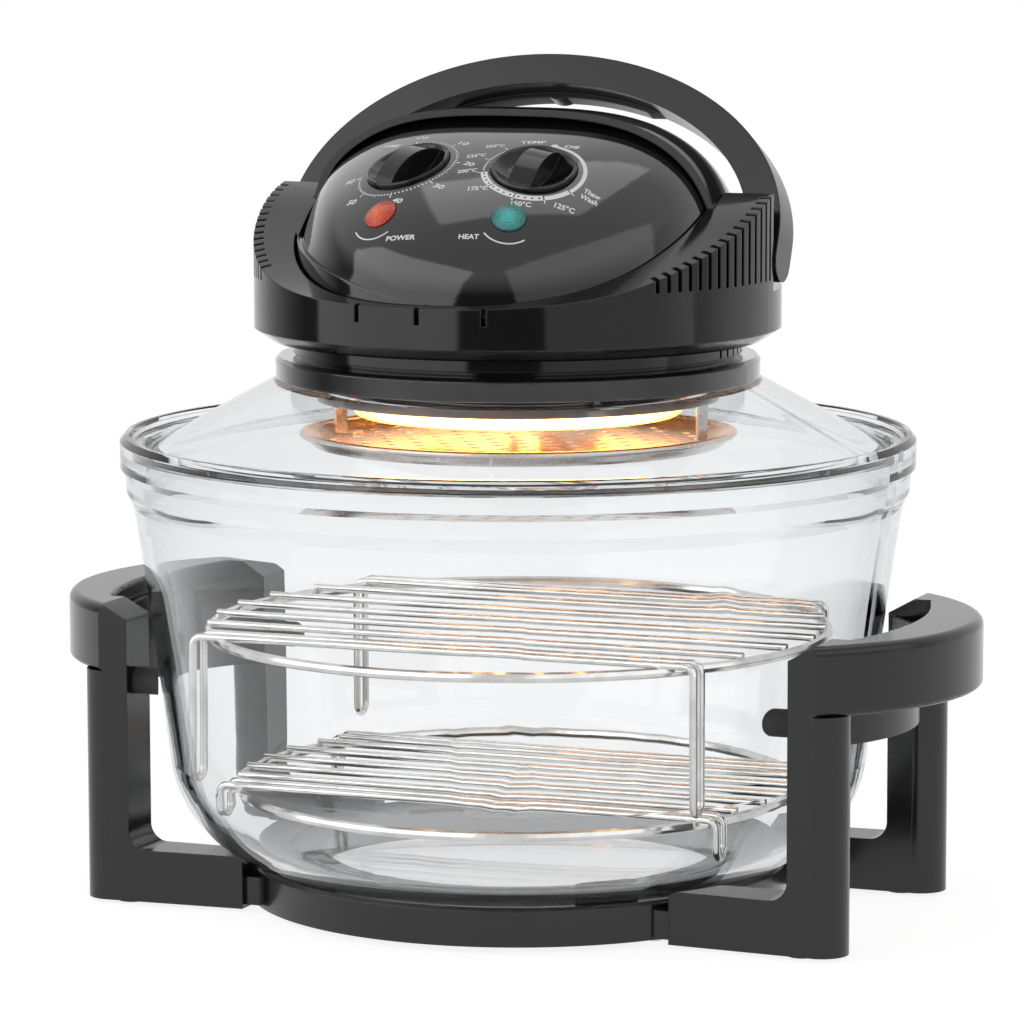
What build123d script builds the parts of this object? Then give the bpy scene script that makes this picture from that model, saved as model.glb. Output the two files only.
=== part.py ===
from build123d import *
import os
from math import asin, copysign, cos, pi, radians, sin, sqrt

# A twelve-litre halogen oven: a stand that carries a glass bowl, and a glass lid with the
# heater head clamped into it. Millimetres, +Z up, the bowl's axis on Z, the controls facing -Y.
# The bodies stand on z = 0.

os.makedirs("parts", exist_ok=True)

# ---------------------------------------------------------------- driving dimensions
WALL = 2.5  # plastic wall
SEAM = 0.3  # gap where curved faces of different bodies would touch
RUNNING = 0.05  # radial clearance of a shaft in its bore

# stand
STAND_BOTTOM = 1.5  # the mouldings stand clear of the table on rubber feet
RING_OUTER, RING_INNER = 116.0, 86.0
RING_LEDGE, RING_LIP = 15.5, 18.9  # heights of the ledge under the bowl and of the lip
RING_RIBS = 16
ARM_START, ARM_TOP = 96.4, 24.0  # where a leg's arm begins, and its top
POST_INNER, POST_SEAM = 148.5, 160.0  # inner face of a post, and the seam to its round cover
POST_NEAR, POST_FAR = 57.0, 80.0  # a post's depth along Y, from and to
POST_TOP_INNER = 123.6
COVER_RADIUS = (POST_FAR - POST_NEAR) / 2
POST_MIDDLE = (POST_FAR + POST_NEAR) / 2
GRIP_BOTTOM, GRIP_TOP = 101.0, 130.0
GRIP_REACH, GRIP_INNER_REACH = 203.5, 177.0  # outer and inner edge of a grip at y = 0
GRIP_INNER_END = 166.0
GUARD_BOTTOM, GUARD_TOP, GUARD_REACH, GUARD_RADIUS = 84.0, 122.0, 176.6, 79.7
BUMPER_RADIUS, BUMPER_HEIGHT = 5.8, 96.0

# bowl
BOWL_FLOOR, BOWL_TOP = 17.0, 202.5
BOWL_GLASS = 5.0
FLOOR_RADIUS, HEEL_RADIUS = 98.3, 52.0  # flat underside, and the rounding up into the wall
WALL_FOOT = (149.9, 62.7)
WALL_WAIST = (156.6, 118.0)
WALL_HEAD = (163.2, 164.0)
RIM_OUTER, RIM_BOTTOM = 170.0, 189.0
LID_LEDGE = 195.4  # the step inside the rim that the lid sits on

# lid
LID_RIM, LID_CONE_FOOT = 164.4, 158.0
LID_FLANGE_BOTTOM, LID_FLANGE_TOP = 195.7, 199.4
LID_LAND, LID_TOP, LID_HOLE, LID_GLASS = 103.3, 225.9, 90.0, 5.0

# head
COLLAR_BOTTOM, COLLAR_TOP = 227.3, 235.7
NECK_RADIUS, NECK_GROOVE = 96.0, 237.4
VENTS, VENT_STEP = 5, 4.3  # upright slots on each side of the neck, and the degrees between them
BAND_BOTTOM, BAND_TOP, BAND_RADIUS = 243.0, 265.0, 112.4
TOWER_TOP, TOWER_BACK = 306.0, 8.0  # the housing's shoulders and their flat rear faces
GLAND_HEIGHT = 255.0
GROOVES, GROOVE_FROM, GROOVE_TO = 15, 52.0, 91.5  # ribbed shoulders, degrees from the front
DOME_HALF, DOME_FRONT, DOME_RISE = 92.0, 105.0, 72.0
DOME_FALL, NOSE_FULLNESS, NOSE_DROP = 0.3, 8, 0.45  # how the dome's crest falls to the front and rounds off
PANEL_WALL = 3.0
PANEL_SPLIT, COVER_SPLIT = 4.0, 9.0  # the cover's front lip laps over the panel's rear edge
COVER_PROUD = 3.5
DIAL_X, DIAL_Y, DIAL_RADIUS = 28.25, -53.0, 18.2
KNOB_POINTERS = {"timer": 9.0, "thermostat": 23.0}  # degrees clockwise from up the slope, at Off
LENS_X, LENS_Y, LENS_RADIUS = 28.5, -82.0, 7.25

# handle
PIVOT_Y, PIVOT_Z, HANDLE_LEAN = 18.0, 277.5, 24.0
HANDLE_HALF, HANDLE_RISE, HANDLE_LEG = 113.0, 79.4, 8.0
HANDLE_BAR, HANDLE_CROWN, HANDLE_DEPTH = 15.0, 13.4, 19.0  # width at the sides, at the crown; depth
GRIP_RIB, GRIP_RIB_DEPTH, FINGER_RADIUS = 2.4, 8.0, 9.0  # the rib under the crown, and its finger bumps
PIN_RADIUS = 5.0

# heater, seen through the lid
REFLECTOR_RADIUS, REFLECTOR_TOP = 85.5, 220.5
SHIELD_TOP = 227.0
CHASSIS_TOP = 247.0
LAMP_RING, LAMP_TUBE, LAMP_HEIGHT = 66.0, 4.75, 213.5
LAMP_GAP = 13.0  # degrees each side of the rear where the lamp's ends turn up into their sockets
TRAY_RIM, TRAY_WALL, TRAY_TOP, TRAY_FLOOR = 91.9, 88.6, 201.5, 196.5
TRAY_BEAD = 1.5  # radius of the rolled rim
TRAY_HOLE, TRAY_PITCH = 3.0, 12.5
SHAFT_RADIUS = 3.0

# racks
RING_WIRE, BAR_WIRE = 2.2, 1.6


# ---------------------------------------------------------------- shared shapes
def outline(points, plane=Plane.XZ):
    """A face through corner points on a plane; on XZ they are radius and height."""
    with BuildSketch(plane) as face:
        with BuildLine():
            Polyline(*points, close=True)
        make_face()
    return face.sketch


def crest(share):
    """Rise of the dome's front half on its middle line, at a share of the way to the tip."""
    fall = 1 - DOME_FALL * (share + share**2)
    return DOME_RISE * fall * (1 - share**NOSE_FULLNESS) ** NOSE_DROP


def dome_height(x, y):
    """Height of the control panel's outer surface."""
    share = abs(y) / DOME_FRONT
    power = 3 - share
    across = abs(x) / DOME_HALF / sqrt(1 - share**2)
    return BAND_TOP + crest(share) * (1 - across**power) ** (1 / power)


def panel_plane(x, y):
    """The plane that lies on the control panel at x, y, with its Y running up the slope."""
    step = 0.5
    slope_x = (dome_height(x + step, y) - dome_height(x - step, y)) / (2 * step)
    slope_y = (dome_height(x, y + step) - dome_height(x, y - step)) / (2 * step)
    normal = Vector(-slope_x, -slope_y, 1).normalized()
    uphill = (Vector(0, 0, 1) - normal * normal.Z).normalized()
    return Plane(origin=(x, y, dome_height(x, y)), x_dir=uphill.cross(normal), z_dir=normal)


def upright(seat):
    """The plane through a seat's axis, on which a profile is drawn as radius and height."""
    return Plane(origin=seat.origin, x_dir=seat.x_dir, z_dir=seat.y_dir * -1)


def dome_section(angle, grow, side):
    """One cross-section of the head's dome: half a superellipse that rounds off to the tip."""
    half = (DOME_HALF + grow) * cos(angle)
    rise = grow * cos(angle) + (crest(sin(angle)) if side < 0 else DOME_RISE * cos(angle))
    station = side * (DOME_FRONT + grow) * sin(angle)
    power = 3 - abs(sin(angle))
    points = []
    for step in range(13):
        across, up = cos(pi * step / 12), sin(pi * step / 12)
        points.append((half * copysign(abs(across) ** (2 / power), across), rise * up ** (2 / power)))
    with BuildSketch(Plane(origin=(0, station, BAND_TOP), x_dir=(1, 0, 0), z_dir=(0, -1, 0))) as face:
        with BuildLine():
            Spline(*points, tangents=[(0, 1), (0, -1)])
            Line(points[-1], points[0])
        make_face()
    return face.sketch


def dome_stations(grow, split, side):
    """The sections from the split line to the tip; side is -1 for the front and 1 for the rear."""
    first = asin(split / (DOME_FRONT + grow))
    shares = (0, 0.18, 0.36, 0.54, 0.7, 0.84, 0.94)
    faces = [dome_section(first + (pi / 2 - first) * share, grow, side) for share in shares]
    return faces + [Vertex(0, side * (DOME_FRONT + grow), BAND_TOP)]


# ---------------------------------------------------------------- stand
with BuildPart() as stand_base:
    revolve(
        outline(
            [
                (RING_INNER, STAND_BOTTOM + 1),
                (RING_INNER, RING_LEDGE),
                (101, RING_LEDGE),
                (RING_OUTER - 4, RING_LIP - 1),
                (RING_OUTER - 1.5, RING_LIP),
                (RING_OUTER, RING_LIP - 1.5),
                (RING_OUTER, STAND_BOTTOM + 1),
                (RING_OUTER - WALL, STAND_BOTTOM + 1),
                (RING_OUTER - WALL, RING_LIP - 4),
                (101, RING_LEDGE - WALL),
                (RING_INNER + WALL, RING_LEDGE - WALL),
                (RING_INNER + WALL, STAND_BOTTOM + 1),
            ]
        ),
        axis=Axis.Z,
    )
    with BuildSketch(Plane.XY.offset(STAND_BOTTOM + 2)) as ring_ribs:
        with PolarLocations((RING_INNER + RING_OUTER) / 2, RING_RIBS, start_angle=11.25):
            Rectangle(RING_OUTER - RING_INNER - WALL, 2)
    extrude(amount=RING_LEDGE - STAND_BOTTOM - 3.5)
    with Locations(*[(x * (ARM_START - 10.7), y * 67, 9) for x in (-1, 1) for y in (-1, 1)]):
        Box(21.4, 14, 12)
stand_base.part.label = "stand_base"
export_step(stand_base.part, "parts/stand_base.step")

with BuildPart() as right_side_frame:
    # the grip bar, a crescent seen from above, runs round to the outer end of both posts
    with BuildSketch(Plane.XY.offset(GRIP_BOTTOM)) as grip_plan:
        with BuildLine():
            outer = ThreePointArc((POST_SEAM + 1.4, -POST_FAR), (GRIP_REACH, 0), (POST_SEAM + 1.4, POST_FAR))
            inside = ((POST_INNER, POST_FAR), (POST_INNER, POST_NEAR), (GRIP_INNER_END, POST_NEAR))
            end = Polyline(outer @ 1, *inside)
            inner = ThreePointArc(end @ 1, (GRIP_INNER_REACH, 0), (GRIP_INNER_END, -POST_NEAR))
            Polyline(inner @ 1, (POST_INNER, -POST_NEAR), (POST_INNER, -POST_FAR), outer @ 0)
        make_face()
    extrude(amount=GRIP_TOP - GRIP_BOTTOM)
    arcs = right_side_frame.edges().filter_by(GeomType.CIRCLE)
    fillet(arcs.group_by(Axis.Z)[-1].sort_by(Axis.X)[-1], radius=4)
    fillet(arcs.group_by(Axis.Z)[-1].sort_by(Axis.X)[0], radius=2)
    fillet(arcs.group_by(Axis.Z)[0].sort_by(Axis.X)[-1], radius=2)
    # two L-shaped legs: an arm along the table from the ring, and a post up to the grip
    with BuildSketch(Plane.XZ.offset(POST_NEAR)) as leg:
        with BuildLine():
            Polyline(
                (ARM_START, STAND_BOTTOM),
                (POST_SEAM, STAND_BOTTOM),
                (POST_SEAM, GRIP_BOTTOM),
                (POST_INNER, GRIP_BOTTOM),
                (POST_INNER, ARM_TOP),
                (ARM_START, ARM_TOP),
                close=True,
            )
        make_face()
        fillet(leg.vertices().sort_by_distance((POST_INNER, ARM_TOP))[0], radius=8)
    extrude(amount=POST_FAR - POST_NEAR)
    mirror(about=Plane.XZ)
    # the posts' tops slope down towards the bowl
    with BuildSketch(Plane.XZ) as slope:
        with BuildLine():
            line = ((POST_INNER, POST_TOP_INNER), (POST_SEAM, GRIP_TOP))
            Polyline((140, 119), *line, (160, 140), (140, 140), close=True)
        make_face()
    extrude(amount=POST_FAR + 1, both=True, mode=Mode.SUBTRACT)
    # seen from above the arms draw in a little towards the ring
    with BuildSketch() as draw_in:
        with BuildLine():
            taper = ((90, -76.3), (ARM_START, -76.6), (POST_SEAM, -POST_FAR))
            Polyline(*taper, (POST_SEAM, -90), (90, -90), close=True)
        make_face()
        mirror(about=Plane.XZ)
    extrude(amount=GRIP_TOP, mode=Mode.SUBTRACT)
    # the arms are open underneath
    with BuildSketch(Plane.XY.offset(STAND_BOTTOM)) as hollows:
        with Locations(*[(POST_INNER - 22.5, y * (POST_MIDDLE - 1)) for y in (-1, 1)]):
            Rectangle(35, 14)
    extrude(amount=ARM_TOP - STAND_BOTTOM - WALL, mode=Mode.SUBTRACT)
    with Locations(*[(152, y * POST_MIDDLE, STAND_BOTTOM) for y in (-1, 1)]):
        Cylinder(6.7, 3.4, mode=Mode.SUBTRACT)
    Cylinder(RING_OUTER + 0.2, 2 * RING_LIP, mode=Mode.SUBTRACT)
    # the bowl's round heel dips between the arms
    with BuildSketch(Plane.XZ) as heel_clearance:
        with Locations((FLOOR_RADIUS, BOWL_FLOOR + HEEL_RADIUS)):
            Circle(HEEL_RADIUS + 1)
    revolve(axis=Axis.Z, mode=Mode.SUBTRACT)
right_side_frame.part.label = "right_side_frame"
export_step(right_side_frame.part, "parts/right_side_frame.step")

with BuildPart() as left_side_frame:
    mirror(right_side_frame.part, about=Plane.YZ)
left_side_frame.part.label = "left_side_frame"
export_step(left_side_frame.part, "parts/left_side_frame.step")

with BuildPart() as right_post_covers:
    with BuildSketch(Plane.XY.offset(STAND_BOTTOM)) as half_rounds:
        with Locations(*[(POST_SEAM, y * POST_MIDDLE) for y in (-1, 1)]):
            Circle(COVER_RADIUS)
            Circle(COVER_RADIUS - WALL, mode=Mode.SUBTRACT)
        with Locations((POST_SEAM - COVER_RADIUS, 0)):
            Rectangle(2 * COVER_RADIUS, 2 * POST_FAR + 1, mode=Mode.SUBTRACT)
    extrude(amount=GRIP_BOTTOM - STAND_BOTTOM)
right_post_covers.part.label = "right_post_covers"
export_step(right_post_covers.part, "parts/right_post_covers.step")

with BuildPart() as left_post_covers:
    mirror(right_post_covers.part, about=Plane.YZ)
left_post_covers.part.label = "left_post_covers"
export_step(left_post_covers.part, "parts/left_post_covers.step")

with BuildPart() as right_finger_guard:
    with BuildSketch(Plane.XY.offset(GUARD_BOTTOM)) as guard_plan:
        with Locations((GUARD_REACH - GUARD_RADIUS, 0)):
            Circle(GUARD_RADIUS)
            Circle(GUARD_RADIUS - 2, mode=Mode.SUBTRACT)
        with Locations((GUARD_REACH, 0)):
            Rectangle(80, 2 * POST_NEAR, mode=Mode.INTERSECT)
    extrude(amount=GUARD_TOP - GUARD_BOTTOM)
right_finger_guard.part.label = "right_finger_guard"
export_step(right_finger_guard.part, "parts/right_finger_guard.step")

with BuildPart() as left_finger_guard:
    mirror(right_finger_guard.part, about=Plane.YZ)
left_finger_guard.part.label = "left_finger_guard"
export_step(left_finger_guard.part, "parts/left_finger_guard.step")

with BuildPart() as bowl_bumpers:
    with BuildSketch(Plane.YZ.offset(POST_INNER)) as bumper_ends:
        with Locations(*[(y * POST_MIDDLE, BUMPER_HEIGHT) for y in (-1, 1)]):
            Circle(BUMPER_RADIUS)
    extrude(amount=-16)
    mirror(about=Plane.YZ)
    Cylinder(154.9, 4 * BUMPER_HEIGHT, mode=Mode.SUBTRACT)
bowl_bumpers.part.label = "bowl_bumpers"
export_step(bowl_bumpers.part, "parts/bowl_bumpers.step")

with BuildPart() as bowl_pads:
    with BuildSketch(Plane.XY.offset(RING_LEDGE)) as pad_plan:
        with PolarLocations((RING_INNER + FLOOR_RADIUS) / 2 - 0.4, 4, start_angle=45):
            SlotOverall(28, 9, rotation=90)
    extrude(amount=BOWL_FLOOR - RING_LEDGE)
bowl_pads.part.label = "bowl_pads"
export_step(bowl_pads.part, "parts/bowl_pads.step")

with BuildPart() as feet:
    with BuildSketch() as feet_plan:
        with Locations(*[(x * 152, y * POST_MIDDLE) for x in (-1, 1) for y in (-1, 1)]):
            Circle(6.5)
    extrude(amount=STAND_BOTTOM + 1.7)
feet.part.label = "feet"
export_step(feet.part, "parts/feet.step")

with BuildPart() as stand_screws:
    with Locations(*[(x * 87, y * 67, 3) for x in (-1, 1) for y in (-1, 1)]):
        Cylinder(3, 1.9, align=(Align.CENTER, Align.CENTER, Align.MAX))
stand_screws.part.label = "stand_screws"
export_step(stand_screws.part, "parts/stand_screws.step")

# ---------------------------------------------------------------- glass bowl
HEEL_CENTRE = (FLOOR_RADIUS, BOWL_FLOOR + HEEL_RADIUS)
HEEL_MIDDLE = (FLOOR_RADIUS + HEEL_RADIUS * sin(pi / 4), BOWL_FLOOR + HEEL_RADIUS * (1 - cos(pi / 4)))
INNER_HEEL = HEEL_RADIUS - BOWL_GLASS
with BuildPart() as glass_bowl:
    with BuildSketch(Plane.XZ) as bowl_section:
        with BuildLine():
            floor = Line((0, BOWL_FLOOR), (FLOOR_RADIUS, BOWL_FLOOR))
            heel = ThreePointArc(floor @ 1, HEEL_MIDDLE, WALL_FOOT)
            flank = Spline(heel @ 1, WALL_WAIST, WALL_HEAD, tangents=[heel % 1, (0.17, 1)])
            Polyline(
                flank @ 1,
                (164.6, 172.7),
                (167.4, 178.5),
                (RIM_OUTER - 2, RIM_BOTTOM - 3),
                (RIM_OUTER, RIM_BOTTOM),
                (RIM_OUTER, BOWL_TOP - 2.5),
                (RIM_OUTER - 2.2, BOWL_TOP),
                (LID_RIM + 1.6, BOWL_TOP),
                (LID_RIM + 0.6, BOWL_TOP - 1.5),
                (LID_RIM + 0.6, LID_LEDGE),
                (LID_RIM - 4.4, LID_LEDGE),
                (LID_RIM - 4.8, LID_LEDGE - 15),
                (WALL_HEAD[0] - BOWL_GLASS, WALL_HEAD[1]),
            )
            inner_foot = (WALL_FOOT[0] - BOWL_GLASS, WALL_FOOT[1])
            inner_flank = Spline(
                (WALL_HEAD[0] - BOWL_GLASS, WALL_HEAD[1]),
                (WALL_WAIST[0] - BOWL_GLASS, WALL_WAIST[1]),
                inner_foot,
                tangents=[(-0.17, -1), (heel % 1) * -1],
            )
            inner_floor = (FLOOR_RADIUS, BOWL_FLOOR + BOWL_GLASS)
            inner_middle = (
                FLOOR_RADIUS + INNER_HEEL * sin(pi / 4),
                BOWL_FLOOR + HEEL_RADIUS - INNER_HEEL * cos(pi / 4),
            )
            ThreePointArc(inner_foot, inner_middle, inner_floor)
            Polyline(inner_floor, (0, BOWL_FLOOR + BOWL_GLASS), (0, BOWL_FLOOR))
        make_face()
    revolve(axis=Axis.Z)
glass_bowl.part.label = "glass_bowl"
export_step(glass_bowl.part, "parts/glass_bowl.step")


# ---------------------------------------------------------------- wire racks
def rack(ring_radius, height, bar_places, leg_x, leg_y, foot):
    """A welded rack: straight bars on top of a ring, and paired bars that bend down as legs."""
    top = height + RING_WIRE + BAR_WIRE - 1
    turn = radians(20)
    ring_side = Plane((0, 0, height), x_dir=(cos(turn), sin(turn), 0), z_dir=(sin(turn), -cos(turn), 0))
    with BuildPart() as wires:
        with BuildSketch(ring_side):
            with Locations((ring_radius, 0)):
                RegularPolygon(RING_WIRE, 8)
        revolve(axis=Axis.Z)
        for place in bar_places:
            with Locations(Location((0, place, top), (0, 90, 0))):
                Cylinder(BAR_WIRE, 2 * sqrt(ring_radius**2 - place**2))
        for place in (leg_y - 4.75, leg_y + 4.75):
            with BuildLine() as bent:
                route = ((-leg_x, foot), (-leg_x, top), (leg_x, top), (leg_x, foot))
                FilletPolyline(*[(x, place, z) for x, z in route], radius=4)
            with BuildSketch(Plane(origin=bent.line @ 0, z_dir=bent.line % 0)):
                Circle(BAR_WIRE)
            sweep(path=bent.line)
        for x in (-leg_x, leg_x):
            with BuildLine() as toe:
                ThreePointArc((x, leg_y - 4.75, foot), (x, leg_y, foot - 4.75), (x, leg_y + 4.75, foot))
            with BuildSketch(Plane(origin=toe.line @ 0, z_dir=toe.line % 0)):
                Circle(BAR_WIRE)
            sweep(path=toe.line)
        mirror(about=Plane.XZ)
    return wires.part


high_wires = rack(133, 118, (-56, -28, 0, 28, 56), 111, 85, 64)
with BuildPart() as high_rack:
    add(high_wires)
high_rack.part.label = "high_rack"
export_step(high_rack.part, "parts/high_rack.step")

low_wires = rack(121, 50, (-42, -21, 0, 21, 42), 112, 60, 42)
with BuildPart() as low_rack:
    add(low_wires)
low_rack.part.label = "low_rack"
export_step(low_rack.part, "parts/low_rack.step")

# ---------------------------------------------------------------- glass lid and its clamping
CONE_SLOPE = (LID_TOP - LID_FLANGE_TOP + 3.2) / (LID_CONE_FOOT - LID_LAND)
LID_UNDER = LID_TOP - LID_GLASS
with BuildPart() as glass_lid:
    revolve(
        outline(
            [
                (LID_HOLE, LID_TOP),
                (LID_LAND, LID_TOP),
                (LID_CONE_FOOT, LID_FLANGE_TOP - 3.2),
                (LID_CONE_FOOT + 1.2, LID_FLANGE_TOP - 0.6),
                (LID_CONE_FOOT + 2.4, LID_FLANGE_TOP),
                (LID_RIM - 0.8, LID_FLANGE_TOP),
                (LID_RIM, LID_FLANGE_TOP - 0.8),
                (LID_RIM, LID_FLANGE_BOTTOM + 0.6),
                (LID_RIM - 0.6, LID_FLANGE_BOTTOM),
                (LID_CONE_FOOT - 3, LID_FLANGE_BOTTOM),
                (LID_CONE_FOOT - 6, LID_FLANGE_TOP - 3.2 + 6 * CONE_SLOPE - LID_GLASS),
                (LID_LAND - 1.2, LID_UNDER),
                (LID_HOLE, LID_UNDER),
            ]
        ),
        axis=Axis.Z,
    )
glass_lid.part.label = "glass_lid"
export_step(glass_lid.part, "parts/glass_lid.step")

with BuildPart() as lid_gasket:
    revolve(outline([(91, LID_TOP), (100, LID_TOP), (100, COLLAR_BOTTOM), (91, COLLAR_BOTTOM)]), axis=Axis.Z)
lid_gasket.part.label = "lid_gasket"
export_step(lid_gasket.part, "parts/lid_gasket.step")

with BuildPart() as lid_collar:
    revolve(
        outline(
            [
                (86, COLLAR_BOTTOM),
                (100.4, COLLAR_BOTTOM),
                (100.4, LID_TOP + SEAM),
                (LID_LAND, LID_TOP + SEAM),
                (LID_LAND + 0.2, COLLAR_TOP - 1.6),
                (LID_LAND - 1.4, COLLAR_TOP),
                (86, COLLAR_TOP),
            ]
        ),
        axis=Axis.Z,
    )
lid_collar.part.label = "lid_collar"
export_step(lid_collar.part, "parts/lid_collar.step")

with BuildPart() as lid_clamps:
    with BuildSketch(Plane.XZ) as clamp_side:
        with BuildLine():
            Polyline(
                (86.2, LID_UNDER - 1.2),
                (96, LID_UNDER - 1.2),
                (96, LID_UNDER),
                (88.4, LID_UNDER),
                (88.4, COLLAR_BOTTOM),
                (86.2, COLLAR_BOTTOM),
                close=True,
            )
        make_face()
    clamp = extrude(amount=5, both=True, mode=Mode.PRIVATE)
    with PolarLocations(0, 4, start_angle=45):
        add(clamp)
lid_clamps.part.label = "lid_clamps"
export_step(lid_clamps.part, "parts/lid_clamps.step")

# ---------------------------------------------------------------- head mouldings
with BuildPart() as head_neck:
    revolve(
        outline(
            [
                (90, COLLAR_TOP),
                (NECK_RADIUS - 3, COLLAR_TOP),
                (NECK_RADIUS - 3, NECK_GROOVE),
                (NECK_RADIUS, NECK_GROOVE),
                (NECK_RADIUS, BAND_BOTTOM),
                (90, BAND_BOTTOM),
            ]
        ),
        axis=Axis.Z,
    )
    # warm air leaves through upright slots on both sides
    for side in (0, 180):
        for step in range(VENTS):
            turn = side + VENT_STEP * (step - VENTS / 2 + 1)
            with Locations(Location((0, 0, NECK_GROOVE), (0, 0, turn))):
                with Locations((NECK_RADIUS - 3, 0, 0.6)):
                    Box(12, 2, 4.4, align=(Align.CENTER, Align.CENTER, Align.MIN), mode=Mode.SUBTRACT)
head_neck.part.label = "head_neck"
export_step(head_neck.part, "parts/head_neck.step")


def shoulder_profile(drop, back):
    """The housing's side view: a ramp that sweeps up from the front shelf to the towers."""
    front = -BAND_RADIUS - 1
    sweep_up = [(-90, 268.6), (-70, 275), (-50, 283), (-30, 291.5), (-10, 300.2)]
    points = [(front, 264.6), *sweep_up, (back, TOWER_TOP)]
    with BuildSketch(Plane.YZ) as profile:
        with BuildLine():
            ramp = Spline(*[(y, z - drop) for y, z in points])
            rear = ((back, BAND_TOP - drop), (-front, BAND_TOP - drop))
            Polyline(ramp @ 1, *rear, (-front, 240), (front, 240), ramp @ 0)
        make_face()
    return profile.sketch


with BuildPart() as head_core:
    revolve(
        outline(
            [
                (0, BAND_BOTTOM + WALL),
                (105, BAND_BOTTOM + WALL),
                (BAND_RADIUS - 3, BAND_BOTTOM + 6.5),
                (BAND_RADIUS - 3, BAND_TOP - 4),
                (BAND_RADIUS - 8, BAND_TOP - 1),
                (BAND_RADIUS - 8, 330),
                (0, 330),
            ]
        ),
        axis=Axis.Z,
    )
    extrude(shoulder_profile(3, TOWER_BACK - 3), amount=120, both=True, mode=Mode.INTERSECT)

with BuildPart() as head_housing:
    revolve(
        outline(
            [
                (88, BAND_BOTTOM),
                (105, BAND_BOTTOM),
                (BAND_RADIUS, BAND_BOTTOM + 5),
                (BAND_RADIUS, 330),
                (0, 330),
                (0, BAND_BOTTOM + 1),
                (88, BAND_BOTTOM + 1),
            ]
        ),
        axis=Axis.Z,
    )
    extrude(shoulder_profile(0, TOWER_BACK), amount=120, both=True, mode=Mode.INTERSECT)
    add(head_core.part, mode=Mode.SUBTRACT)
    Cylinder(88, 2 * (BAND_BOTTOM + WALL) + 1, mode=Mode.SUBTRACT)
    # the opening that the dome stands in
    loft(dome_stations(1.2, 0, -1), mode=Mode.SUBTRACT)
    loft(dome_stations(COVER_PROUD + SEAM, -COVER_SPLIT - SEAM, 1), mode=Mode.SUBTRACT)
    with BuildSketch(Plane.XY.offset(BAND_TOP - 8)) as opening:
        Ellipse(DOME_HALF + 0.8, DOME_FRONT + 0.8)
    extrude(amount=8.5, mode=Mode.SUBTRACT)
    # ribbed shoulders
    for side in (-1, 1):
        for step in range(GROOVES):
            turn = side * (GROOVE_FROM + (GROOVE_TO - GROOVE_FROM) * step / (GROOVES - 1)) - 90
            with Locations(Location((0, 0, 0), (0, 0, turn))):
                with Locations((BAND_RADIUS - 4.5, 0, BAND_TOP + 5)):
                    Box(9, 2, 60, align=(Align.MIN, Align.CENTER, Align.MIN), mode=Mode.SUBTRACT)
    # three notches in the front edge
    for turn in (-104.4, -90, -75.6):
        with Locations(Location((0, 0, 0), (0, 0, turn))):
            with Locations((BAND_RADIUS - 3.5, 0, BAND_TOP - 7)):
                Box(9, 2.1, 60, align=(Align.MIN, Align.CENTER, Align.MIN), mode=Mode.SUBTRACT)
    # holes for the housing screws and for the cord gland at the back
    with PolarLocations(101, 4, start_angle=45):
        Cylinder(1.8, 2 * (BAND_BOTTOM + 8), mode=Mode.SUBTRACT)
    with Locations(Location((0, BAND_RADIUS, GLAND_HEIGHT), (90, 0, 0))):
        Cylinder(5.5, 12, mode=Mode.SUBTRACT)
head_housing.part.label = "head_housing"
export_step(head_housing.part, "parts/head_housing.step")

DIALS = {"timer": panel_plane(-DIAL_X, DIAL_Y), "thermostat": panel_plane(DIAL_X, DIAL_Y)}
LENSES = {"power": panel_plane(-LENS_X, LENS_Y), "heat": panel_plane(LENS_X, LENS_Y)}

with BuildPart() as panel_solid:
    loft(dome_stations(0, PANEL_SPLIT, -1))

with BuildPart() as control_panel:
    add(panel_solid.part)
    loft(dome_stations(-PANEL_WALL, PANEL_SPLIT, -1), mode=Mode.SUBTRACT)
    # a cup under each dial takes the dished knob
    for seat in DIALS.values():
        with BuildSketch(seat.offset(-9.6)) as cup:
            Circle(DIAL_RADIUS + 2.2)
        extrude(amount=18)
    add(panel_solid.part, mode=Mode.INTERSECT)
    for seat in DIALS.values():
        with BuildSketch(seat.offset(-8)) as dish:
            Circle(DIAL_RADIUS)
        extrude(amount=16, mode=Mode.SUBTRACT)
        with BuildSketch(seat.offset(-12)) as spindle_hole:
            Circle(4.5)
        extrude(amount=8, mode=Mode.SUBTRACT)
    for seat in LENSES.values():
        with BuildSketch(seat.offset(-8)) as lens_hole:
            Circle(LENS_RADIUS)
        extrude(amount=16, mode=Mode.SUBTRACT)
    # a skirt drops into the housing
    with BuildSketch(Plane.XY.offset(BAND_TOP - 7)) as skirt:
        Ellipse(DOME_HALF - 0.5, DOME_FRONT - 0.5)
        Ellipse(DOME_HALF - PANEL_WALL + 0.5, DOME_FRONT - PANEL_WALL + 0.5, mode=Mode.SUBTRACT)
        with Locations((0, DOME_FRONT - PANEL_SPLIT - 1)):
            Rectangle(3 * DOME_HALF, 2 * DOME_FRONT, mode=Mode.SUBTRACT)
    extrude(amount=8)
control_panel.part.label = "control_panel"
export_step(control_panel.part, "parts/control_panel.step")

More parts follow.
